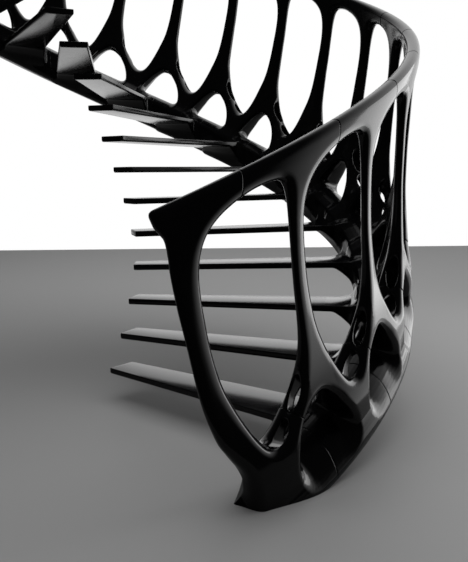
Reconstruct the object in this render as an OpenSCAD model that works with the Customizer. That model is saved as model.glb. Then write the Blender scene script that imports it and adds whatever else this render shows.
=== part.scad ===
// Spiral staircase without a newel, built of moulded bays.
// Each bay is one piece: a length of the outer string, the boss of one tread, a branching
// baluster and a length of handrail. The treads reach in from the bays and end free.
//
// The floor is Z = 0 and +Z is up. A place on the stair is given by step, height and radius:
// step counts treads along the helix, height is measured from the helix through the tread
// tops, and radius from the stair's axis. Going up turns counter-clockwise seen from above.

/* [Stair] */
// Rise from one tread to the next
riser = 165; // [150:1:180]
// Turn from one tread to the next, in degrees
turn = 14.1; // [13.6:0.1:14.8]
// Number of treads between the two floors
treads = 16; // [10:1:18]
// Radius of the stair, to the outer edge of its string
stair_r = 1667; // [1640:1:1700]

/* [Treads] */
// Radius of a tread's free end
tread_tip_r = 265; // [200:1:400]
// Width of a tread at its free end
tread_tip_w = 149; // [120:1:180]
// Width of a tread at its joint
tread_joint_w = 254; // [220:1:270]
// Thickness of a tread
tread_t = 30; // [22:1:40]
// Rounding of a tread's lower edges
tread_edge = 11; // [6:1:14]
// Easing of a tread's upper edges
tread_ease = 4; // [2:0.5:8]
// Length of the boss between a tread and the string
boss_l = 154; // [120:1:180]

/* [String] */
// Width of the string
string_w = 263; // [230:1:290]
// Height of the string's crest
string_crest = 92; // [80:1:100]
// Depth of the string's outer edge, below the helix
string_edge = 34; // [20:1:45]
// Depth of the string's belly, below the helix
string_belly = 134; // [120:1:145]

/* [Balusters] */
// Width of a post at its waist
post_w = 66; // [54:1:80]
// Depth of a post at its waist
post_d = 41; // [34:1:50]
// Width of the flare under the handrail
flare_w = 316; // [260:1:320]
// Height of the flare under the handrail
flare_h = 165; // [140:1:200]
// Height at which a post parts into its two legs
split_h = 300; // [285:1:320]
// Width of a post where it parts
split_w = 190; // [170:1:210]
// Width of a leg
leg_w = 74; // [64:1:86]
// Depth of the fork between two legs
fork_d = 154; // [136:1:170]
// Width of the downstairs leg at its joint
seam_w = 66; // [56:1:76]
// Depth of the downstairs leg at its joint
seam_d = 118; // [108:1:136]
// Width of the slots in the downstairs leg
slot_w = 52; // [44:1:58]

/* [Handrail] */
// Distance of the handrail's middle line inside the string's outer edge
rail_in = 41; // [34:1:48]
// Height of the handrail's crest
rail_h = 1214; // [1100:1:1240]
// Width of the handrail
rail_w = 62; // [50:1:70]
// Depth of the handrail
rail_d = 56; // [48:1:66]

/* [Hidden] */
// Radii that hang on the stair's own
string_inner_r = stair_r - string_w;
tread_joint_r = string_inner_r - boss_l;
rail_r = stair_r - rail_in;
fork_in = 96;
fork_r = stair_r - fork_in;
root_in = 125;
root_r = stair_r - root_in;

// Where the origin lies on the foot's base
foot_step = 0.1;
foot_r = root_r;

// String's section: its corners, measured from its faces, crest and belly
crest_in = 82;
crest_w = 54;
crest_fall = 7;
shoulder = 42;
shoulder_in = 20;
shoulder_up = 16;
belly_ease = 14;
nose_w = 52;
nose_up = 76;
nose_down = 70;

// Handrail's section, in parts of its width and depth
rail_shape = [
    [0, 0], [0.4, -0.2], [0.5, -0.55], [0.3, -0.93], [0, -1], [-0.3, -0.93], [-0.5, -0.55], [-0.4, -0.2]];
beak_middle = 0.6;
beak_size = 0.8;
tip_size = 0.12;

// Joints between bays, in steps from the bay's own tread
string_joint = 0.48;
rail_joint = -0.54;
seam_step = 0.085;
seam_h = 272;
seam_tilt = 22;

// Baluster's route, in steps from the bay's own tread
post_head_step = -0.95;
post_split_step = -0.60;
post_bow = 0.10;
flare_sink = 0.75;
leg_head_step = -0.57;
leg_head_h = 385;
leg_foot_step = -0.23;
leg_foot_h = 130;
strand_head_step = -0.815;
strand_head_h = 460;
stub_foot_step = 0.02;
stub_foot_h = 130;
fork_step = -0.185;
fork_h = 205;
fork_w = 180;
fork_flow = 420;
root_step = -0.075;
root_h = 20;
root_w = 150;
root_d = 228;
bridge_t = 20;
strand_w = 58;
strand_inset = 3;

// Boss: how far its back rises and its underside drops where it meets the string
boss_depth = 45;
boss_rise = 70;
boss_drop_front = 95;
boss_drop_back = 20;
boss_ease = 14;
boss_edge = 22;
boss_cuts = 4;

// End post at the foot of the stair, and the two ends of the handrail
end_head_step = -0.93;
end_bend_step = -1.03;
end_bend_h = 550;
end_foot_step = -0.25;
end_foot_h = 130;
end_post_w = 80;
end_flare_w = 200;
beak_step = -1.262;
head_stop = 0.08;

// Slanted end of the string at the foot
foot_end_step = -0.05;
foot_slant = 0.75;

// Fineness of the curves and the power of the swells
limb_sides = 8;
string_cuts = 3;
rail_cuts = 2;
post_cuts = 7;
end_cuts = 8;
head_power = 2.5;
split_power = 1.5;
fork_power = 2;
boss_power = 3;

post_top = rail_h - flare_sink * rail_d;
head_bay_no = treads + 1;
step_arc = fork_r * turn * PI / 180;
rail_tilt = -atan2(riser, step_arc);
strand_d = (seam_d - slot_w) / 2 - strand_inset;
floor_size = 3 * stair_r;
gloss_black = [0.02, 0.02, 0.022];

function two_digits(n) = n < 10 ? str("0", n) : str(n);
function bay_name(n) = str("bay_", two_digits(n));
function tread_name(n) = str("tread_", two_digits(n));

// A point of the stair, moved sideways along the helix and up from its place
function place(radius, step, height, along = 0, up = 0) =
    let (a = (step - foot_step) * turn)
    [radius * cos(a) - along * sin(a) - foot_r,
     radius * sin(a) + along * cos(a),
     height + step * riser + up];

function mix(a, b, t) = a + (b - a) * t;

// Middle radius and depth of a baluster at a height
function wall_r(h) = mix(fork_r, rail_r, (h - fork_h) / (rail_h - fork_h));
function wall_d(h) =
    post_d + (fork_d - post_d) * pow(max(0, 1 - max(0, h - fork_h) / fork_flow), fork_power);

// A station of a limb is [step, height, radius, width, depth]
function lean(p, q) =
    atan2((q[0] - p[0]) * step_arc, q[1] - p[1] + (q[0] - p[0]) * riser);

function limb_ring(st, tilt) =
    [for (i = [0:limb_sides - 1])
        let (a = -360 * i / limb_sides, w = st[3] / 2 * cos(a), d = st[4] / 2 * sin(a))
        place(st[2] + d, st[0], st[1], w * cos(tilt), -w * sin(tilt))];

function limb_rings(sts) =
    let (last = len(sts) - 1)
    [for (i = [0:last]) limb_ring(sts[i], lean(sts[max(i - 1, 0)], sts[min(i + 1, last)]))];

// A solid through a row of rings that all have as many points
module skin(rings) {
    n = len(rings[0]);
    last = (len(rings) - 1) * n;
    polyhedron([for (r = rings) each r], concat(
        [[for (i = [0:n - 1]) i]],
        [[for (i = [0:n - 1]) last + n - 1 - i]],
        [for (k = [0:n:last - 1], i = [0:n - 1])
            each [[k + i, k + n + i, k + n + (i + 1) % n],
                  [k + i, k + n + (i + 1) % n, k + (i + 1) % n]]]));
}

// A straight piece between two rings
module bar(a, b)
    hull() skin([a, b]);

// Outer string: its section stands in a plane through the stair's axis
function string_section() = [
    [string_inner_r, belly_ease - string_belly],
    [string_inner_r, string_crest - shoulder],
    [string_inner_r + shoulder_in, string_crest - shoulder + shoulder_up],
    [string_inner_r + crest_in, string_crest],
    [string_inner_r + crest_in + crest_w, string_crest - crest_fall],
    [stair_r - nose_w, nose_up - string_edge],
    [stair_r, -string_edge],
    [stair_r - nose_w, -nose_down - string_edge],
    [string_inner_r + crest_in, -string_belly],
    [string_inner_r + belly_ease, -string_belly]];

function string_ring(step) = [for (p = string_section()) place(p[0], step, p[1])];

module string_run(from, to)
    skin([for (i = [0:string_cuts]) string_ring(mix(from, to, i / string_cuts))]);

// String of the foot: its end slants back towards the inner face
module foot_string(from, to) {
    slanted = [for (p = string_section())
        let (back = foot_slant * (string_inner_r - p[0]))
        place(p[0], from, p[1], back, back * riser / step_arc)];
    skin(concat([slanted], [for (i = [1:string_cuts]) string_ring(mix(from, to, i / string_cuts))]));
}

// Handrail: a rounded section with a crest
function rail_ring(step, size = 1) =
    [for (p = rail_shape) place(rail_r + size * p[0] * rail_w, step, rail_h + size * p[1] * rail_d)];

module rail_run(from, to)
    skin([for (i = [0:rail_cuts]) rail_ring(mix(from, to, i / rail_cuts))]);

// Pointed end of the handrail
module rail_beak(from, tip) {
    middle = rail_ring(mix(from, tip, beak_middle), beak_size);
    bar(rail_ring(from), middle);
    bar(middle, rail_ring(tip, tip_size));
}

// Post from the parting of its legs up into the handrail
function head_swell(h) = pow(max(0, 1 - (post_top - h) / flare_h), head_power);
function split_swell(h) = pow(max(0, 1 - (h - split_h) / split_h), split_power);

function post_station(n, t) =
    let (h = mix(split_h, post_top, t))
    [n + mix(post_split_step, post_head_step, t) - post_bow * sin(180 * t), h, wall_r(h),
     post_w + (flare_w - post_w) * head_swell(h) + (split_w - post_w) * split_swell(h), wall_d(h)];

module post(n) {
    post_lean = lean(post_station(n, 0), post_station(n, 1));
    skin([for (i = [0:post_cuts])
        let (t = 1 - pow(1 - i / post_cuts, split_power))
        limb_ring(post_station(n, t), mix(post_lean, rail_tilt, head_swell(mix(split_h, post_top, t))))]);
}

// Root of a baluster, where two legs stand on the string
module root(n)
    bar(limb_ring([n + root_step, root_h, root_r, root_w, root_d], 0),
        limb_ring([n + fork_step, fork_h, fork_r, fork_w, fork_d], 0));

// Upstairs leg, from the post down to the root
function leg_station(n, t) =
    let (h = mix(leg_head_h, leg_foot_h, t))
    [n + mix(leg_head_step, leg_foot_step, t), h, wall_r(h), leg_w, wall_d(h)];

module upstairs_leg(n)
    skin(limb_rings([for (t = [0, 0.5, 1]) leg_station(n, t)]));

// Downstairs leg and the stub that meets it: a bridge at the joint, carried by two strands
function seam_station(n, rise) =
    let (up = rise * cos(seam_tilt), ahead = rise * sin(seam_tilt) / step_arc)
    [n + seam_step + ahead, seam_h + up - ahead * riser, wall_r(seam_h), seam_w, seam_d];

module bridge(n, rise)
    bar(limb_ring(seam_station(n, 0), seam_tilt), limb_ring(seam_station(n, rise), seam_tilt));

function strand_ring(st, spread, side) =
    limb_ring([st[0], st[1], st[2] + side * spread / 2, strand_w, strand_d], seam_tilt);

module strands(n, rise, far, far_spread)
    for (side = [-1, 1])
        bar(strand_ring(seam_station(n, rise), slot_w + strand_d, side),
            strand_ring(far, far_spread, side));

module downstairs_leg(n) {
    bridge(n - 1, bridge_t);
    strands(n - 1, bridge_t / 2,
            [n + strand_head_step, strand_head_h, wall_r(strand_head_h)], strand_d / 2);
}

module stub(n) {
    bridge(n, -bridge_t);
    strands(n, -bridge_t / 2,
            [n + stub_foot_step, stub_foot_h, wall_r(stub_foot_h)], slot_w + strand_d / 2);
}

// Tread and its boss share a section that stands across the tread's middle line;
// its front and back edges are given as [underside, top]
function tread_ring(n, x, width, front, back, ease, edge) =
    let (a = (n - foot_step) * turn, half = width / 2)
    [for (p = [[half, back[0] + edge], [half, back[1] - ease],
               [half - ease, back[1]], [ease - half, front[1]],
               [-half, front[1] - ease], [-half, front[0] + edge],
               [edge - half, front[0]], [half - edge, back[0]]])
        [x * cos(a) - p[0] * sin(a) - foot_r, x * sin(a) + p[0] * cos(a), n * riser + p[1]]];

function tread_width(x) =
    mix(tread_tip_w, tread_joint_w, (x - tread_tip_r) / (tread_joint_r - tread_tip_r));

function board_ring(n, x) =
    tread_ring(n, x, tread_width(x), [-tread_t, 0], [-tread_t, 0], tread_ease, tread_edge);

module boss(n)
    skin([for (i = [0:boss_cuts])
        let (t = i / boss_cuts, swell = pow(t, boss_power), x = tread_joint_r + t * (boss_l + boss_depth))
        tread_ring(n, x, tread_width(x), [-tread_t - boss_drop_front * swell, 0],
                   [-tread_t - boss_drop_back * swell, boss_rise * swell],
                   mix(tread_ease, boss_ease, t), mix(tread_edge, boss_edge, t))]);

module tread(n)
    color(gloss_black)
    hull() {
        skin([board_ring(n, tread_joint_r), board_ring(n, tread_tip_r + tread_edge),
            tread_ring(n, tread_tip_r, tread_tip_w - 2 * tread_ease,
                       [tread_edge - tread_t, -tread_ease], [tread_edge - tread_t, -tread_ease],
                       tread_ease, tread_edge / 2)]);
    }

// One bay with its tread's boss
module bay_body(n) {
    string_run(n + string_joint - 1, n + string_joint);
    boss(n);
    post(n);
    root(n);
    upstairs_leg(n);
    downstairs_leg(n);
    stub(n);
    rail_run(n + rail_joint - 1, n + rail_joint);
}

// What the floor leaves of a bay
module above_floor()
    difference() {
        children();
        translate([-floor_size / 2 - foot_r, -floor_size / 2, -floor_size])
            cube(floor_size);
    }

module bay(n)
    color(gloss_black) above_floor() bay_body(n);

// First bay: the end post runs down into the foot
function end_station(t) =
    let (a = [end_head_step, post_top], b = [end_bend_step, end_bend_h], c = [end_foot_step, end_foot_h],
         p = mix(mix(a, b, t), mix(b, c, t), t))
    [p[0], p[1], wall_r(p[1]), end_post_w + (end_flare_w - end_post_w) * head_swell(p[1]), wall_d(p[1])];

module end_post()
    skin(limb_rings([for (i = [0:end_cuts]) end_station(i / end_cuts)]));

module foot_bay()
    color(gloss_black) above_floor() {
        foot_string(foot_end_step, string_joint);
        end_post();
        root(0);
        stub(0);
        rail_run(end_head_step, rail_joint);
        rail_beak(end_head_step, beak_step);
    }

// Last bay: no tread, the string stops at the upper floor
module head_bay()
    color(gloss_black) {
        n = head_bay_no;
        string_run(n + string_joint - 1, n + head_stop);
        post(n);
        root(n);
        upstairs_leg(n);
        downstairs_leg(n);
        rail_run(n + rail_joint - 1, n + post_head_step);
        rail_beak(n + post_head_step, n + rail_joint);
    }

foot_bay();
for (n = [1:treads]) bay(n);
head_bay();
for (n = [1:treads]) tread(n);
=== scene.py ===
import math

import bmesh
import bpy
import numpy as np
from mathutils import Matrix, Vector


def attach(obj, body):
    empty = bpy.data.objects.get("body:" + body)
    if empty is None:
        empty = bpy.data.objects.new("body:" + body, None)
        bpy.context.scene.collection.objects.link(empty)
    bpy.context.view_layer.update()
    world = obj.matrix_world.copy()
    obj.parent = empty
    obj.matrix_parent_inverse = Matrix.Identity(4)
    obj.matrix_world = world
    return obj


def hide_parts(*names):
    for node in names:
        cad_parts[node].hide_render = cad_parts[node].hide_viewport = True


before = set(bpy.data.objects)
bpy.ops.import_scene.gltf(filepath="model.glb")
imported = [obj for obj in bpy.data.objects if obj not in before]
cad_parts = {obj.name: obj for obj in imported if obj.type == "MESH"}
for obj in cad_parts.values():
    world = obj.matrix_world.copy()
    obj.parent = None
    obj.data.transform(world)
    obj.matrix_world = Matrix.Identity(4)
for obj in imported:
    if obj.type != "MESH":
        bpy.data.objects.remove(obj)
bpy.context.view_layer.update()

# Looks of a spiral staircase built of moulded bays, in metres.
# A place on the stair is given by step, height and radius: step counts treads along the helix,
# height is measured from the helix through the tread tops, and radius from the stair's axis.
# Each bay is a distance field, negative inside, whose surface is meshed and wrapped round the axis.

# Stair
RISER = 0.165
TURN = math.radians(14.1)
TREADS = 16
FOOT_STEP = 0.1
AXIS_X = -1.542

# The wall of balusters is drawn flat: arc runs round a cylinder of this radius, and rise straight up
FLAT_R = 1.62
STEP_ARC = FLAT_R * TURN
SLOPE = RISER / STEP_ARC

# Outlines of the openings and of the wall's two ends, as (step from the bay's own tread, height)
TALL_GAP = [
    (-0.165, 0.232), (-0.105, 0.242), (-0.035, 0.272), (0.038, 0.322), (0.086, 0.382), (0.117, 0.45),
    (0.124, 0.52), (0.10, 0.60), (0.055, 0.71), (0.003, 0.845), (-0.028, 0.94), (-0.062, 1.035),
    (-0.105, 1.092), (-0.175, 1.119), (-0.28, 1.130), (-0.40, 1.133), (-0.50, 1.129), (-0.60, 1.120),
    (-0.70, 1.104), (-0.785, 1.078), (-0.835, 1.045), (-0.862, 1.0), (-0.865, 0.94), (-0.845, 0.87),
    (-0.81, 0.79), (-0.765, 0.70), (-0.70, 0.60), (-0.635, 0.525), (-0.545, 0.447), (-0.45, 0.372),
    (-0.345, 0.298), (-0.25, 0.248)]
ARCH = [
    (0.345, 0.290), (0.26, 0.283), (0.185, 0.260), (0.125, 0.222), (0.092, 0.175), (0.088, 0.125),
    (0.110, 0.075), (0.20, 0.0), (0.45, -0.03), (0.70, -0.02), (0.80, 0.025), (0.785, 0.07),
    (0.735, 0.11), (0.68, 0.145), (0.62, 0.180), (0.55, 0.220), (0.48, 0.252), (0.42, 0.275)]
END_POST_EDGE = [
    (-1.45, 1.30), (-1.30, 1.22), (-1.262, 1.195), (-1.226, 1.158), (-1.182, 1.130), (-1.153, 1.110),
    (-1.134, 1.080), (-1.120, 1.040), (-1.104, 0.985), (-1.05, 0.87), (-0.985, 0.755), (-0.86, 0.533),
    (-0.72, 0.375), (-0.605, 0.291), (-0.486, 0.211), (-0.445, 0.15), (-0.425, 0.06), (-0.42, -0.2)]
HEAD_EDGE = [
    (-0.165, 0.232), (-0.06, 0.20), (0.03, 0.12), (0.08, 0.02), (0.10, -0.2)]
HEAD_TOP = [(-0.50, 1.30), (-0.55, 1.215), (-0.585, 1.170), (-0.64, 1.132)]
# The head's end follows the tall gap from this point of it on
HEAD_GAP_POINT = 18
# The regions beyond the two ends reach this many steps away
FAR_STEP = 4

# Faces of the wall, as (height, inner radius, outer radius)
WALL_FACES = [
    (-0.10, 1.410, 1.635), (-0.05, 1.410, 1.650), (0.0, 1.412, 1.649), (0.06, 1.430, 1.650),
    (0.10, 1.452, 1.651), (0.15, 1.475, 1.652), (0.20, 1.494, 1.648), (0.25, 1.512, 1.641),
    (0.30, 1.528, 1.634), (0.36, 1.542, 1.626), (0.42, 1.553, 1.621), (0.50, 1.564, 1.618),
    (0.60, 1.573, 1.618), (0.72, 1.579, 1.620), (0.86, 1.587, 1.628), (1.0, 1.593, 1.638),
    (1.10, 1.595, 1.650), (1.16, 1.595, 1.657), (1.25, 1.595, 1.657)]
WALL_BOTTOM = -0.07
RAIL_TOP = 1.214
# Where the wall is thickest, as a share of the way from its inner to its outer face
WALL_MIDDLE = 0.6
# Scale of the wall's measure of distance: the lower it is, the further the wall's blends reach
WALL_MEASURE = 0.8

# Rounding of the wall's edges, as (height, width of the round)
EDGE_ROUND = [(-0.1, 0.040), (0.1, 0.040), (0.30, 0.042), (0.55, 0.042), (1.08, 0.042), (1.22, 0.034)]
EDGE_POWER = 2.3
# Rounding of the ridge along the middle of a post
POST_BLEND = 0.026

# Turn of the posts toward the stair's upper end, as (height, slope across the post)
POST_TURN = [(-0.1, 0.0), (0.25, 0.0), (0.45, 0.16), (0.95, 0.16), (1.12, 0.0), (1.25, 0.0)]
POST_HALF_W = 0.06

# String's section, as (radius, height)
STRING = [
    (1.404, -0.095), (1.403, -0.02), (1.405, 0.045), (1.424, 0.066), (1.487, 0.092), (1.540, 0.085),
    (1.605, 0.045), (1.639, 0.006), (1.651, -0.034), (1.641, -0.074), (1.590, -0.112), (1.510, -0.133),
    (1.445, -0.134), (1.412, -0.120)]
STRING_CUTS = 3
STRING_BLEND = 0.040

# Foot end of the string: a slanted cut that kicks out in a toe at the floor
FOOT_CUT_R = 1.41
FOOT_CUT_STEP = -0.05
FOOT_CUT_SLANT = 1.0
TOE_REACH = 0.046
TOE_HEIGHT = 0.055
FOOT_ROUND = 0.008
FOOT_LEAN = 0.8
FOOT_LEAN_FROM = 0.10
# Where the foot bay's grid starts, in steps from where its lower seam would be
FOOT_GRID_STEP = -0.05

# Head end of the string: an upright face, this many steps past the head bay's own place
HEAD_STRING_STEP = 0.08
HEAD_STRING_EASE = 0.01

# Joints between bays, as (height, step from the bay's own tread)
SEAM = [
    (-0.30, 0.48), (0.10, 0.48), (0.20, 0.24), (0.235, 0.165), (0.305, 0.015), (0.40, -0.13), (1.05, -0.54),
    (1.40, -0.54)]
SEAM_EASE = 0.003
SEAM_GAP = 0.0006

# Slots in the downstairs leg, as (distance along the leg from its joint, half length, half width)
SLOTS = [(0.070, 0.066, 0.025), (-0.078, 0.054, 0.028)]
SLOT_AT = (0.075, 0.272)
SLOT_TILT = math.radians(22)
SLOT_R = 1.585
SLOT_SLANT = -0.2
SLOT_REACH = 0.075
SLOT_BLEND = 0.012

# Treads, from the free tip to the joint with the boss; TREAD_EDGE rounds the lower edges
TIP_R = 0.2655
JOINT_R = 1.250
TIP_W = 0.149
JOINT_W = 0.254
TREAD_T = 0.030
TREAD_EDGE = 0.011
TREAD_EASE = 0.004
TIP_CUTS = 4
# Sections along a tread, as shares of its length
TREAD_STATIONS = (0.02, 0.5, 0.98, 1.0)

# Bosses: toward the string the top rises at the back, and the underside drops, most at the front
BOSS_END_R = 1.425
BOSS_CUTS = 16
BOSS_RISE = 0.06
BOSS_RISE_FROM = 0.25
BOSS_RISE_POWER = 2.5
BOSS_BACK_POWER = 1.5
BOSS_DROP_FRONT = 0.125
BOSS_DROP_BACK = 0.030
BOSS_DROP_FROM = 0.2
BOSS_DROP_POWER = 1.4
BOSS_BLEND = 0.05
BOSS_INSET = 0.0015
BOSS_ROUND = 0.02

# Grid on which the bays are meshed: its cell, its limits, and its lines beside a seam
CELL = 0.0070
GRID_BOTTOM = -0.180
GRID_TOP = 1.235
GRID_INNER_R = 1.325
GRID_OUTER_R = 1.690
FINE_CELLS = [-0.004, -0.002, 0.0, 0.0015, 0.003, 0.005, 0.008, 0.0125, 0.0185]
# Rounds in which the mesh is settled on the surface and evened
EVEN_ROUNDS = 2

# Edges sharper than this many degrees are shaded as edges
SHARP_ANGLE = 35

# Lacquer: clouds vary its gloss, and a fine ripple its surface
BAY_BLACK = (0.0015, 0.0015, 0.0017)
BAY_ROUGHNESS = 0.13
BAY_RIPPLE = 0.02
TREAD_BLACK = (0.002, 0.002, 0.0022)
TREAD_ROUGHNESS = 0.16
TREAD_RIPPLE = 0.01
LACQUER_IOR = 1.55
CLOUD_SCALE = 9
CLOUD_DETAIL = 4
CLOUD_LESS = 0.02
CLOUD_MORE = 0.03
RIPPLE_SCALE = 160
RIPPLE_DETAIL = 2
RIPPLE_DEPTH = 0.0006

# Camera, and the photograph's height in pixels that its focal length belongs to
CAMERA_AT = (1.7164, -1.5855, 1.1118)
CAMERA_YAW = math.radians(51.601)
CAMERA_DIP = math.radians(8.846)
CAMERA_ROLL = math.radians(-0.571)
FOCAL_PX = 687.635
FRAME_H_PX = 562
SENSOR_MM = 36

# Floor, by distances ahead of the camera and to its sides, and a wider apron just below it
FLOOR_FROM = 1.75
FLOOR_TO = 10.4
FLOOR_LEFT = 3.8
FLOOR_RIGHT = 3.75
FLOOR_NEAR_RIGHT = 0.9
FLOOR_COLOUR = (0.21, 0.21, 0.21)
# The floor's colour where the stair mirrors it is painted darker: painted shade in the floor's reflections
# on the lacquer
FLOOR_REFLECTED_SHADE = (0.06, 0.06, 0.06)
FLOOR_ROUGHNESS = 0.6
APRON = 12.0
APRON_DROP = 0.001

# Surroundings: white around one direction and dim away from it, by the cosine of the angle between
BRIGHT_SIDE = (-0.32, 0.95, 0)
BRIGHT_FROM = 0.85
DIM_TO = 0.2
DIM_LEVEL = 0.01
WHITE_LEVEL = 1.0

# Lamps, with their power in watts
TOP_LAMP = {
    "place": (-1.2, 1.0, 8.0), "target": (-1.2, 0.6, 0.0), "width": 10.0, "height": 10.0,
    "power": 850, "mirrored": False}
SIDE_LAMP = {
    "place": (0.5, 3.9, 1.3), "target": (0.3, 0.0, 0.9), "width": 2.4, "height": 2.6,
    "power": 35, "mirrored": True}


# Flat coordinates

def flat(points):
    """Points (step, height) as (arc, rise) on the flat wall."""
    p = np.array(points, float)
    return np.stack([p[:, 0] * STEP_ARC, p[:, 1] + p[:, 0] * RISER], 1)


def curve_through(points, closed=True, cuts=8):
    """A smooth line through points."""
    p = np.array(points, float)
    if closed:
        before, after, beyond = np.roll(p, 1, 0), np.roll(p, -1, 0), np.roll(p, -2, 0)
        start = p
    else:
        padded = np.concatenate([p[:1], p, p[-1:]])
        before, start, after, beyond = padded[:-3], padded[1:-2], padded[2:-1], padded[3:]
    t = np.arange(cuts)[None, :, None] / cuts
    b, s, a, y = (q[:, None] for q in (before, start, after, beyond))
    line = 0.5 * (2 * s + (a - b) * t + (2 * b - 5 * s + 4 * a - y) * t**2 + (3 * s - b - 3 * a + y) * t**3)
    line = line.reshape(-1, 2)
    return line if closed else np.concatenate([line, p[-1:]])


def along(table, x):
    """Smooth value at x of a table of (x, value)."""
    xs, ys = (np.array(column) for column in zip(*table))
    slope = np.gradient(ys, xs)
    i = np.clip(np.searchsorted(xs, x) - 1, 0, len(xs) - 2)
    span = xs[i + 1] - xs[i]
    t = np.clip((x - xs[i]) / span, 0, 1)
    return (
        ys[i] * (1 + 2 * t) * (1 - t) ** 2 + ys[i + 1] * t * t * (3 - 2 * t)
        + span * t * (1 - t) * (slope[i] * (1 - t) - slope[i + 1] * t))


def outline_distance(x, y, outline):
    """Signed distance of points to a closed outline, negative inside it."""
    x, y = np.broadcast_arrays(x, y)
    px, py = x.ravel(), y.ravel()
    nearest = np.full(px.shape, np.inf)
    inside = np.zeros(px.shape, bool)
    for (ax, ay), (bx, by) in zip(outline, np.roll(outline, -1, 0)):
        ex, ey = bx - ax, by - ay
        length = ex * ex + ey * ey
        if length == 0:
            continue
        wx, wy = px - ax, py - ay
        t = np.clip((wx * ex + wy * ey) / length, 0, 1)
        nearest = np.minimum(nearest, (wx - t * ex) ** 2 + (wy - t * ey) ** 2)
        if ey:
            crosses = (ay > py) != (by > py)
            inside ^= crosses & (px < ax + (py - ay) * ex / ey)
    nearest = np.sqrt(nearest)
    return np.where(inside, -nearest, nearest).reshape(x.shape)


def smooth_min(a, b, blend):
    """The lesser of two distances, with a fillet of about this width where they meet."""
    h = np.maximum(blend - np.abs(a - b), 0) / blend
    return np.minimum(a, b) - h * h * blend / 4


def smooth_max(a, b, blend):
    """The greater of two distances, with a round of about this width where they meet."""
    return -smooth_min(-a, -b, blend)


def boss_faces(radius, back):
    """Top and underside of the boss at a radius, from its front (back = 0) to its back (1)."""
    t = np.clip((radius - JOINT_R) / (BOSS_END_R - JOINT_R), 0, 1)
    rise = BOSS_RISE * np.maximum(0, (t - BOSS_RISE_FROM) / (1 - BOSS_RISE_FROM)) ** BOSS_RISE_POWER
    drop = np.maximum(0, (t - BOSS_DROP_FROM) / (1 - BOSS_DROP_FROM)) ** BOSS_DROP_POWER
    depth = BOSS_DROP_FRONT + (BOSS_DROP_BACK - BOSS_DROP_FRONT) * back
    return rise * back**BOSS_BACK_POWER, -TREAD_T - drop * depth


def tread_width(radius):
    """Width of a tread, or of its boss, at a radius."""
    return TIP_W + (JOINT_W - TIP_W) * (radius - TIP_R) / (JOINT_R - TIP_R)


def boss_distance(arc, rise, radius):
    """Distance to a block just inside the boss, from which the string flows into it."""
    angle = arc / FLAT_R
    out, aside = radius * np.cos(angle), radius * np.sin(angle)
    width = tread_width(out)
    top, bottom = boss_faces(out, np.clip(aside / width + 0.5, 0, 1))
    upright = np.maximum(rise - top, bottom - rise)
    beside = smooth_max(upright, np.abs(aside) - width / 2, BOSS_ROUND)
    return np.maximum(beside, out - BOSS_END_R) + BOSS_INSET


# Shape of the bays

def region(edge, far_step):
    """Closed outline of all that lies beyond an edge line, out to far_step."""
    top, bottom = edge[0][1], edge[-1][1]
    line = curve_through(edge, closed=False)
    return flat(np.concatenate([line, [(far_step, bottom), (far_step, top)]]))


def hole(outline, n):
    """Closed outline of an opening, n steps from the bay's own."""
    return flat(curve_through(outline) + np.array([n, 0.0]))


# In each list of holes, the first two lie on the two sides of the bay's post

def regular_holes():
    return [hole(outline, n) for outline in (TALL_GAP, ARCH) for n in (-1, 0)]


def foot_holes():
    return [region(END_POST_EDGE, -FAR_STEP), hole(TALL_GAP, 0), hole(ARCH, 0)]


def head_holes():
    edge = HEAD_TOP + TALL_GAP[HEAD_GAP_POINT:] + HEAD_EDGE
    return [hole(TALL_GAP, -1), region(edge, FAR_STEP), hole(ARCH, -1)]


def seam_arc(height):
    """Arc of the bay's upper seam at a height."""
    heights, steps = zip(*SEAM)
    return np.interp(height, heights, steps) * STEP_ARC


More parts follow.
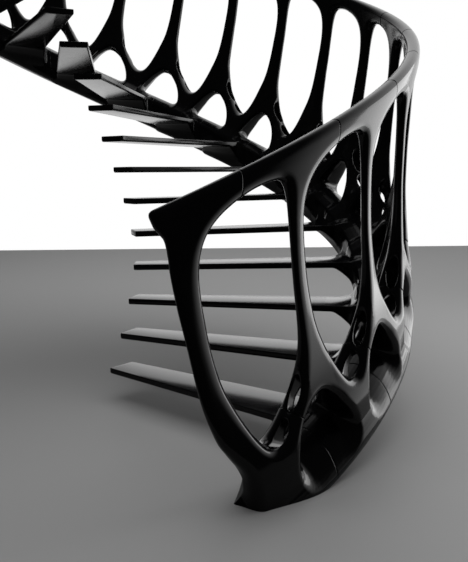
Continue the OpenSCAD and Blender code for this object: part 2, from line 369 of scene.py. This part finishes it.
class Bay:
    """Distance field of one bay, in arc, rise and radius from the bay's own tread.

    slots_at lists the steps whose slotted legs reach into the bay. Only the foot has a low_end,
    where its grid starts, and only the head a string_to, the step at which its string ends.
    """

    def __init__(self, holes, slots_at=(-1, 0), low_end=None, string_to=None):
        self.holes = holes
        self.slots_at = slots_at
        self.low_end = low_end
        self.string_to = string_to

    def wall_place(self, arc, rise):
        """Distance into the wall from its edges, and distance from the middle of a post."""
        height = rise - arc * SLOPE
        d = np.minimum(height - WALL_BOTTOM, RAIL_TOP - height)
        from_holes = [outline_distance(arc, rise, outline) for outline in self.holes]
        for from_hole in from_holes:
            d = smooth_min(d, from_hole, POST_BLEND)
        aside = (from_holes[0] - from_holes[1]) / 2
        return np.stack([d, np.clip(aside, -POST_HALF_W, POST_HALF_W)])

    def field(self, arc, rise, radius, place):
        """Distance to the wall, string and fillet of the boss, before the seams are cut."""
        height = rise - arc * SLOPE
        d, aside = place
        shift = aside * along(POST_TURN, height)
        r_in = along([(h, inner) for h, inner, outer in WALL_FACES], height) - shift
        r_out = along([(h, outer) for h, inner, outer in WALL_FACES], height) - shift
        width = along(EDGE_ROUND, height)
        edge = np.maximum(0, 1 - d / width)
        middle = r_in + WALL_MIDDLE * (r_out - r_in)
        half = np.where(radius < middle, middle - r_in, r_out - middle)
        across = np.abs(radius - middle) / half
        size = WALL_MEASURE * np.minimum(half, width)
        wall = size * ((across**EDGE_POWER + edge**EDGE_POWER) ** (1 / EDGE_POWER) - 1)
        for n in self.slots_at:
            wall = self.cut_slots(wall, arc - n * STEP_ARC, rise - n * RISER, radius)
        string = outline_distance(radius, height, curve_through(STRING, cuts=STRING_CUTS))
        if self.string_to is not None:
            string = smooth_max(string, arc - self.string_to * STEP_ARC, HEAD_STRING_EASE)
        body = smooth_min(wall, string, STRING_BLEND)
        if self.low_end is not None:
            return smooth_max(body, self.foot_cut(arc, rise, radius), FOOT_ROUND)
        if self.string_to is None:
            return np.minimum(body, smooth_min(string, boss_distance(arc, rise, radius), BOSS_BLEND))
        return body

    def foot_cut(self, arc, rise, radius):
        """Distance beyond the slanted end of the string at the foot."""
        low = np.clip(1 - rise / TOE_HEIGHT, 0, 1)
        start = (
            FOOT_CUT_STEP * STEP_ARC - FOOT_CUT_SLANT * (radius - FOOT_CUT_R) - TOE_REACH * low**2
            - FOOT_LEAN * np.maximum(0, rise - FOOT_LEAN_FROM))
        return (start - arc) / math.hypot(1, FOOT_CUT_SLANT)

    def cut_slots(self, wall, arc, rise, radius):
        """The wall without the slots of the leg at step 0."""
        step, height = SLOT_AT
        x = arc - step * STEP_ARC
        y = rise - height - step * RISER
        lengthwise = x * math.sin(SLOT_TILT) + y * math.cos(SLOT_TILT)
        aside = x * math.cos(SLOT_TILT) - y * math.sin(SLOT_TILT)
        for middle, half, half_w in SLOTS:
            u = (lengthwise - middle) / half
            v = (radius - SLOT_R - SLOT_SLANT * aside) / half_w
            slot = half_w * (np.sqrt(u * u + v * v) - 1)
            slot = np.maximum(slot, np.abs(aside) - SLOT_REACH)
            wall = smooth_max(wall, -slot, SLOT_BLEND)
        return wall

    def clipped(self, arc, rise, radius, place):
        """The field between this bay's two seams."""
        f = self.field(arc, rise, radius, place)
        ahead = arc - seam_arc(rise - arc * SLOPE)
        f = smooth_max(f, ahead + SEAM_GAP, SEAM_EASE)
        if self.low_end is None:
            f = smooth_max(f, SEAM_GAP - ahead - STEP_ARC, SEAM_EASE)
        return f


# Meshing of the bays

def spread(low, high, cell):
    """Even values from low to high, about a cell apart."""
    return np.linspace(low, high, int(round((high - low) / cell)) + 1)


def bay_grid(low_end):
    """Grid lines across a bay from its lower seam, up its height and through its depth."""
    fine = np.array(FINE_CELLS)
    if low_end is None:
        middle = spread(fine[-1], STEP_ARC - fine[-1], CELL)[1:-1]
        across = np.concatenate([fine, middle, STEP_ARC - fine[::-1]])
    else:
        middle = spread(low_end * STEP_ARC, STEP_ARC - fine[-1], CELL)[:-1]
        across = np.concatenate([middle, STEP_ARC - fine[::-1]])
    height = spread(GRID_BOTTOM, GRID_TOP, CELL)
    depth = spread(GRID_INNER_R, GRID_OUTER_R, CELL)
    return across, height, depth


def from_grid(across, height):
    """Arc and rise of a place given by its distance from the lower seam and its height."""
    arc = across - STEP_ARC + seam_arc(height)
    return arc, height + arc * SLOPE


def field_on(bay, lines):
    """A bay's field at every corner of a grid."""
    across, height, depth = lines
    arc, rise = from_grid(*np.meshgrid(across, height, indexing="ij"))
    place = bay.wall_place(arc, rise)
    return bay.clipped(arc[:, :, None], rise[:, :, None], depth[None, None, :], place[..., None])


def ends_of_edges(axis):
    """Slices that pick the two ends of each grid edge along an axis."""
    first = tuple(slice(None, -1) if i == axis else slice(None) for i in range(3))
    second = tuple(slice(1, None) if i == axis else slice(None) for i in range(3))
    return first, second


def crossings(f, lines, axis):
    """Which grid edges along an axis the surface crosses, and where; other edges give zeros."""
    first, second = ends_of_edges(axis)
    change = (f[first] < 0) != (f[second] < 0)
    t = np.where(change, f[first] / np.where(change, f[first] - f[second], 1), 0)
    where = np.zeros(change.shape + (3,))
    for i in range(3):
        shape = [1, 1, 1]
        shape[i] = -1
        if i == axis:
            low, high = lines[i][:-1].reshape(shape), lines[i][1:].reshape(shape)
            where[..., i] = low + t * (high - low)
        else:
            where[..., i] = lines[i].reshape(shape)
    return change, where * change[..., None]


def cells_beside(axis, cells):
    """Slices that give each cell its four edges along an axis, one slice per edge."""
    u, v = (i for i in range(3) if i != axis)
    for p in (0, 1):
        for q in (0, 1):
            part = [slice(None)] * 3
            part[u] = slice(p, p + cells[u])
            part[v] = slice(q, q + cells[v])
            yield tuple(part)


def quads_across(axis, change, starts_inside, index):
    """A quad for each crossed edge along an axis, through the points of the four cells around it."""
    u, v = (i for i in range(3) if i != axis)
    where = np.argwhere(change)
    for i in (u, v):
        where = where[(where[:, i] > 0) & (where[:, i] < index.shape[i])]
    corners = []
    for du, dv in ((1, 1), (0, 1), (0, 0), (1, 0)):
        cell = where.copy()
        cell[:, u] -= du
        cell[:, v] -= dv
        corners.append(index[tuple(cell.T)])
    quads = np.stack(corners, 1)
    forward = starts_inside[tuple(where.T)]
    if axis == 1:
        forward = ~forward
    quads[~forward] = quads[~forward][:, ::-1]
    return quads


def surface(bay):
    """Points (arc, rise, radius) and quads of a bay's surface, with a point in each cell that it crosses."""
    lines = bay_grid(bay.low_end)
    f = field_on(bay, lines)
    cells = tuple(count - 1 for count in f.shape)
    total = np.zeros(cells + (3,))
    number = np.zeros(cells)
    changes = []
    for axis in range(3):
        change, where = crossings(f, lines, axis)
        changes.append(change)
        for part in cells_beside(axis, cells):
            total += where[part]
            number += change[part]
    used = number > 0
    index = np.full(cells, -1)
    index[used] = np.arange(used.sum())
    across, height, radius = (total[used] / number[used][:, None]).T
    arc, rise = from_grid(across, height)
    quads = [
        quads_across(axis, change, f[ends_of_edges(axis)[0]] < 0, index)
        for axis, change in enumerate(changes)]
    kept, quads = np.unique(np.concatenate(quads), return_inverse=True)
    return np.stack([arc, rise, radius], 1)[kept], quads.reshape(-1, 4)


def slopes(bay, points, probe=0.0004):
    """Field at flat points, and its slope along arc, rise and radius."""
    arc, rise, radius = points.T
    place = bay.wall_place(arc, rise)
    f = bay.clipped(arc, rise, radius, place)
    slope = np.stack([
        bay.clipped(arc + probe, rise, radius, bay.wall_place(arc + probe, rise)) - f,
        bay.clipped(arc, rise + probe, radius, bay.wall_place(arc, rise + probe)) - f,
        bay.clipped(arc, rise, radius + probe, place) - f], 1) / probe
    return f, slope


def settle(bay, points, rounds=2, limit=0.004, least_slope=0.05, least_move=1e-12):
    """Moves points onto the bay's surface, by at most the limit in a round."""
    for _ in range(rounds):
        f, slope = slopes(bay, points)
        size = np.maximum((slope**2).sum(1), least_slope)
        move = -(f / size)[:, None] * slope
        far = np.maximum(np.linalg.norm(move, axis=1), least_move)
        points = points + move * np.minimum(1, limit / far)[:, None]
    return points


def facing(bay, points, n):
    """Outward directions at flat points of bay n, in the stair's own frame."""
    arc, rise, radius = points.T
    along_arc, up, out = slopes(bay, points)[1].T
    around = along_arc * FLAT_R / radius
    angle = arc / FLAT_R + (n - FOOT_STEP) * TURN
    normal = np.stack([
        out * np.cos(angle) - around * np.sin(angle), out * np.sin(angle) + around * np.cos(angle), up], 1)
    return normal / np.linalg.norm(normal, axis=1)[:, None]


def evened(points, quads, pull=0.5):
    """Points drawn toward the mean of their neighbours, apart from those near a seam."""
    total = np.zeros_like(points)
    number = np.zeros(len(points))
    for i, j in ((0, 1), (1, 2), (2, 3), (3, 0)):
        for a, b in ((i, j), (j, i)):
            for axis in range(3):
                total[:, axis] += np.bincount(quads[:, a], points[quads[:, b], axis], len(points))
            number += np.bincount(quads[:, a], minlength=len(points))
    arc, rise, radius = points.T
    ahead = arc - seam_arc(rise - arc * SLOPE)
    near = np.minimum(np.abs(ahead), np.abs(ahead + STEP_ARC)) < FINE_CELLS[-1]
    mean = total / np.maximum(number, 1)[:, None]
    return np.where((near | (number == 0))[:, None], points, points + pull * (mean - points))


def wrapped(points, n):
    """Flat points of bay n in the stair's own frame."""
    arc, rise, radius = points.T
    angle = arc / FLAT_R + (n - FOOT_STEP) * TURN
    return np.stack([AXIS_X + radius * np.cos(angle), radius * np.sin(angle), rise + n * RISER], 1)


def turned(n):
    """Carries what is built for the tread at step 0 to step n."""
    axis = Matrix.Translation((AXIS_X, 0, 0))
    return Matrix.Translation((0, 0, n * RISER)) @ axis @ Matrix.Rotation(n * TURN, 4, "Z") @ axis.inverted()


def mesh_from(name, points, faces):
    """A new mesh of points and faces, which may be lists or arrays."""
    mesh = bpy.data.meshes.new(name)
    mesh.from_pydata(points.tolist(), [], faces.tolist() if hasattr(faces, "tolist") else faces)
    mesh.validate()
    mesh.update()
    return mesh


# Treads

def tread_section(width, top, bottom, ease, edge, cuts=4):
    """Closed section across a tread, as (sideways, up)."""
    corners = [
        (width / 2 - ease, top - ease, ease, 0), (ease - width / 2, top - ease, ease, 90),
        (edge - width / 2, bottom + edge, edge, 180), (width / 2 - edge, bottom + edge, edge, 270)]
    section = []
    for x, y, r, start in corners:
        for i in range(cuts + 1):
            a = math.radians(start + 90 * i / cuts)
            section.append((x + r * math.cos(a), y + r * math.sin(a)))
    return section


def loft(rings):
    """Points and faces of a closed solid through rings of as many points."""
    n = len(rings[0])
    points = np.array([p for ring in rings for p in ring])
    faces = [list(range(n))[::-1], [(len(rings) - 1) * n + i for i in range(n)]]
    for k in range(len(rings) - 1):
        for i in range(n):
            j = (i + 1) % n
            faces.append([k * n + i, k * n + j, (k + 1) * n + j, (k + 1) * n + i])
    return points, faces


def ring_at(radius, section):
    """A tread section at a radius, for the tread at step 0."""
    a = -FOOT_STEP * TURN
    return [
        (AXIS_X + radius * math.cos(a) - x * math.sin(a), radius * math.sin(a) + x * math.cos(a), y)
        for x, y in section]


def tread_mesh():
    """Tread at step 0, with its free end eased all round."""
    rings = []
    for i in range(TIP_CUTS + 1):
        a = math.radians(90 * i / TIP_CUTS)
        inset = TREAD_EASE * (1 - math.sin(a))
        rings.append(ring_at(
            TIP_R + TREAD_EASE * (1 - math.cos(a)),
            tread_section(TIP_W - 2 * inset, -inset, inset - TREAD_T, TREAD_EASE, TREAD_EDGE)))
    for t in TREAD_STATIONS:
        radius = TIP_R + (JOINT_R - TIP_R) * t
        rings.append(ring_at(
            radius, tread_section(tread_width(radius), 0, -TREAD_T, TREAD_EASE, TREAD_EDGE)))
    return mesh_from("tread", *loft(rings))


def boss_mesh():
    """Boss at step 0, which twists from the flat tread to the slope of the string."""
    rings = []
    for radius in np.linspace(JOINT_R, BOSS_END_R, BOSS_CUTS + 1):
        width = tread_width(radius)
        section = []
        for x, y in tread_section(width, 0, -TREAD_T, TREAD_EASE, TREAD_EDGE):
            top, bottom = boss_faces(radius, x / width + 0.5)
            up = (y + TREAD_T) / TREAD_T
            section.append((x, y + up * top + (1 - up) * (bottom + TREAD_T)))
        rings.append(ring_at(radius, section))
    return mesh_from("boss", *loft(rings))


# Materials

def noise(nodes, links, place, scale, detail):
    """A noise node on object coordinates."""
    node = nodes.new("ShaderNodeTexNoise")
    node.inputs["Scale"].default_value = scale
    node.inputs["Detail"].default_value = detail
    links.new(place.outputs["Object"], node.inputs["Vector"])
    return node


def lacquer(name, colour, roughness, ripple):
    """Black gloss lacquer, a little uneven in its gloss and its surface."""
    material = bpy.data.materials.new(name)
    material.use_nodes = True
    nodes, links = material.node_tree.nodes, material.node_tree.links
    shader = nodes["Principled BSDF"]
    shader.inputs["Base Color"].default_value = (*colour, 1)
    shader.inputs["IOR"].default_value = LACQUER_IOR
    place = nodes.new("ShaderNodeTexCoord")
    cloud = noise(nodes, links, place, CLOUD_SCALE, CLOUD_DETAIL)
    gloss = nodes.new("ShaderNodeMapRange")
    gloss.inputs["To Min"].default_value = roughness - CLOUD_LESS
    gloss.inputs["To Max"].default_value = roughness + CLOUD_MORE
    links.new(cloud.outputs["Fac"], gloss.inputs["Value"])
    links.new(gloss.outputs["Result"], shader.inputs["Roughness"])
    waves = noise(nodes, links, place, RIPPLE_SCALE, RIPPLE_DETAIL)
    bump = nodes.new("ShaderNodeBump")
    bump.inputs["Strength"].default_value = ripple
    bump.inputs["Distance"].default_value = RIPPLE_DEPTH
    links.new(waves.outputs["Fac"], bump.inputs["Height"])
    links.new(bump.outputs["Normal"], shader.inputs["Normal"])
    return material


def stage_material(name, colour, mirrored, roughness):
    """Plain paint, with another colour where the object mirrors it; the floor gives it a darker one, which
    is painted shade in the object's reflections.
    """
    material = bpy.data.materials.new(name)
    material.use_nodes = True
    nodes, links = material.node_tree.nodes, material.node_tree.links
    shader = nodes["Principled BSDF"]
    shader.inputs["Roughness"].default_value = roughness
    seen = nodes.new("ShaderNodeLightPath")
    paint = nodes.new("ShaderNodeMix")
    paint.data_type = "RGBA"
    first, second = (socket for socket in paint.inputs if socket.type == "RGBA")
    first.default_value = (*colour, 1)
    # Rays that the object mirrors see the second colour: for the floor a darker one, painted shade in the
    # object's reflections
    second.default_value = (*mirrored, 1)
    links.new(seen.outputs["Is Glossy Ray"], paint.inputs["Factor"])
    links.new(next(socket for socket in paint.outputs if socket.type == "RGBA"), shader.inputs["Base Color"])
    return material


# Pieces

def show(name, mesh, matrix, material, slot, *nodes):
    """Places a copy of a mesh as a piece that stands for CAD nodes."""
    placed = mesh.copy()
    placed.transform(matrix)
    shade_by_facing(placed, matrix)
    placed.materials.append(material)
    piece = bpy.data.objects.new(name, placed)
    bpy.context.scene.collection.objects.link(piece)
    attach(piece, "root")
    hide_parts(*nodes)


def shade_by_facing(mesh, matrix):
    """Shades a moulding by the directions kept with its points; points without one keep their own."""
    layer = mesh.attributes.get("facing")
    if layer is None:
        return
    kept = np.empty(len(mesh.vertices) * 3, np.float32)
    layer.data.foreach_get("vector", kept)
    mesh.attributes.remove(layer)
    point = np.empty(len(mesh.loops), np.int32)
    mesh.loops.foreach_get("vertex_index", point)
    own = np.empty(len(mesh.loops) * 3, np.float32)
    mesh.corner_normals.foreach_get("vector", own)
    kept = (kept.reshape(-1, 3) @ np.array(matrix.to_3x3()).T)[point]
    lacking = np.abs(kept).sum(1) == 0
    kept[lacking] = own.reshape(-1, 3)[lacking]
    mesh.normals_split_custom_set(kept.tolist())


def smooth_by_angle(mesh):
    """Shades a mesh smooth, apart from its sharp edges."""
    mesh.polygons.foreach_set("use_smooth", [True] * len(mesh.polygons))
    mesh.set_sharp_from_angle(angle=math.radians(SHARP_ANGLE))


def joined(name, *meshes):
    """One mesh of several shells."""
    bm = bmesh.new()
    for mesh in meshes:
        bm.from_mesh(mesh)
    out = bpy.data.meshes.new(name)
    bm.to_mesh(out)
    bm.free()
    return out


def cut_at_floor(mesh, level):
    """Keeps what stands above the floor at a level, closed by a flat base."""
    bm = bmesh.new()
    bm.from_mesh(mesh)
    everything = bm.verts[:] + bm.edges[:] + bm.faces[:]
    bmesh.ops.bisect_plane(bm, geom=everything, plane_co=(0, 0, level), plane_no=(0, 0, 1), clear_inner=True)
    rim = [e for e in bm.edges if e.is_boundary]
    bmesh.ops.triangle_fill(bm, edges=rim, use_beauty=True, normal=(0, 0, -1))
    bm.to_mesh(mesh)
    bm.free()


def bay_mesh(name, bay, n):
    """Moulding of bay n, with the direction that each of its points faces."""
    points, quads = surface(bay)
    for _ in range(EVEN_ROUNDS):
        points = evened(settle(bay, points), quads)
    points = settle(bay, points)
    mesh = mesh_from(name, wrapped(points, n), quads)
    layer = mesh.attributes.new("facing", "FLOAT_VECTOR", "POINT")
    layer.data.foreach_set("vector", facing(bay, points, n).astype(np.float32).ravel())
    return mesh


bay_lacquer = lacquer("bay_lacquer", BAY_BLACK, BAY_ROUGHNESS, BAY_RIPPLE)
tread_lacquer = lacquer("tread_lacquer", TREAD_BLACK, TREAD_ROUGHNESS, TREAD_RIPPLE)

# Regular bays and treads are built at step 0 and carried to their own; the floor cuts the first bay
bay_shell = joined("bay", bay_mesh("bay_shell", Bay(regular_holes()), 0), boss_mesh())
smooth_by_angle(bay_shell)
first_shell = bay_shell.copy()
cut_at_floor(first_shell, -RISER)
smooth_by_angle(first_shell)
tread_shape = tread_mesh()
smooth_by_angle(tread_shape)

for n in range(1, TREADS + 1):
    shell = first_shell if n == 1 else bay_shell
    show(f"bay_{n:02d}.moulding", shell, turned(n), bay_lacquer, "bay_lacquer", f"bay_{n:02d}")
    show(f"tread_{n:02d}.board", tread_shape, turned(n), tread_lacquer, "tread_lacquer", f"tread_{n:02d}")

# The two end bays are built where they stand
foot = Bay(foot_holes(), slots_at=(0,), low_end=FOOT_GRID_STEP)
foot_shell = bay_mesh("foot_bay", foot, 0)
cut_at_floor(foot_shell, 0)
smooth_by_angle(foot_shell)
show("foot_bay.moulding", foot_shell, Matrix.Identity(4), bay_lacquer, "bay_lacquer", "foot_bay")

head = Bay(head_holes(), slots_at=(-1,), string_to=HEAD_STRING_STEP)
head_shell = bay_mesh("head_bay", head, TREADS + 1)
smooth_by_angle(head_shell)
show("head_bay.moulding", head_shell, Matrix.Identity(4), bay_lacquer, "bay_lacquer", "head_bay")


# Stage, light and camera

def on_floor(distance, side, level):
    """Place on the floor, by its distance ahead of the camera and to its right."""
    ahead = Vector((-math.sin(CAMERA_YAW), math.cos(CAMERA_YAW), 0))
    aside = Vector((math.cos(CAMERA_YAW), math.sin(CAMERA_YAW), 0))
    return Vector((CAMERA_AT[0], CAMERA_AT[1], level)) + ahead * distance + aside * side


def add_floor(name, corners, level, paint, mirrored):
    """One sheet of the floor, at a level, that the stair mirrors or not."""
    mesh = mesh_from(name, np.array([on_floor(*corner, level) for corner in corners]), [[0, 1, 2, 3]])
    mesh.materials.append(paint)
    floor = bpy.data.objects.new(name, mesh)
    bpy.context.scene.collection.objects.link(floor)
    floor.visible_glossy = mirrored


def add_floors():
    """Floor up to the line where it meets the backdrop; the stair doesn't mirror its apron."""
    # The floor paints shade into the stair's reflections of it, with a darker colour for the rays that the
    # stair mirrors
    paint = stage_material("floor_paint_and_reflected_shade", FLOOR_COLOUR, FLOOR_REFLECTED_SHADE, FLOOR_ROUGHNESS)
    shown = [
        (FLOOR_FROM, -FLOOR_LEFT), (FLOOR_FROM, FLOOR_NEAR_RIGHT),
        (FLOOR_TO, FLOOR_RIGHT), (FLOOR_TO, -FLOOR_LEFT)]
    around = [(-APRON, -APRON), (-APRON, APRON), (FLOOR_TO, APRON), (FLOOR_TO, -APRON)]
    add_floor("floor", shown, 0, paint, True)
    add_floor("floor_around", around, -APRON_DROP, paint, False)


def add_light(name, place, target, width, height, power, mirrored):
    """A soft rectangular lamp that looks at a target."""
    data = bpy.data.lights.new(name, "AREA")
    data.shape = "RECTANGLE"
    data.size = width
    data.size_y = height
    data.energy = power
    light = bpy.data.objects.new(name, data)
    bpy.context.scene.collection.objects.link(light)
    light.visible_glossy = mirrored
    light.location = place
    light.rotation_euler = (Vector(target) - Vector(place)).to_track_quat("-Z", "Y").to_euler()


def add_world():
    """Surroundings that light the stair from the bright side, and that the camera sees as plain white."""
    world = bpy.data.worlds.new("studio")
    world.use_nodes = True
    nodes, links = world.node_tree.nodes, world.node_tree.links
    place = nodes.new("ShaderNodeTexCoord")
    toward = nodes.new("ShaderNodeVectorMath")
    toward.operation = "DOT_PRODUCT"
    toward.inputs[1].default_value = Vector(BRIGHT_SIDE).normalized()
    links.new(place.outputs["Generated"], toward.inputs[0])
    shade = nodes.new("ShaderNodeMapRange")
    shade.interpolation_type = "SMOOTHSTEP"
    shade.inputs["From Min"].default_value = DIM_TO
    shade.inputs["From Max"].default_value = BRIGHT_FROM
    shade.inputs["To Min"].default_value = DIM_LEVEL
    shade.inputs["To Max"].default_value = WHITE_LEVEL
    links.new(toward.outputs["Value"], shade.inputs["Value"])
    seen = nodes.new("ShaderNodeLightPath")
    level = nodes.new("ShaderNodeMix")
    level.inputs["B"].default_value = WHITE_LEVEL
    links.new(seen.outputs["Is Camera Ray"], level.inputs["Factor"])
    links.new(shade.outputs["Result"], level.inputs["A"])
    background = nodes["Background"]
    background.inputs["Color"].default_value = (1, 1, 1, 1)
    links.new(level.outputs["Result"], background.inputs["Strength"])
    bpy.context.scene.world = world


def add_camera():
    """Camera at the photograph's place and angle."""
    data = bpy.data.cameras.new("camera")
    data.sensor_width = SENSOR_MM
    data.lens = FOCAL_PX * data.sensor_width / FRAME_H_PX
    camera = bpy.data.objects.new("camera", data)
    bpy.context.scene.collection.objects.link(camera)
    ahead = Vector((
        -math.sin(CAMERA_YAW) * math.cos(CAMERA_DIP), math.cos(CAMERA_YAW) * math.cos(CAMERA_DIP),
        -math.sin(CAMERA_DIP)))
    right = Vector((math.cos(CAMERA_YAW), math.sin(CAMERA_YAW), 0))
    up = right.cross(ahead)
    rolled_right = math.cos(CAMERA_ROLL) * right + math.sin(CAMERA_ROLL) * up
    rolled_up = math.cos(CAMERA_ROLL) * up - math.sin(CAMERA_ROLL) * right
    turn = Matrix((rolled_right, rolled_up, -ahead)).transposed().to_4x4()
    camera.matrix_world = Matrix.Translation(CAMERA_AT) @ turn
    bpy.context.scene.camera = camera


add_floors()
add_world()
add_light("top", **TOP_LAMP)
add_light("side", **SIDE_LAMP)
add_camera()
bpy.context.scene.view_settings.view_transform = "Standard"
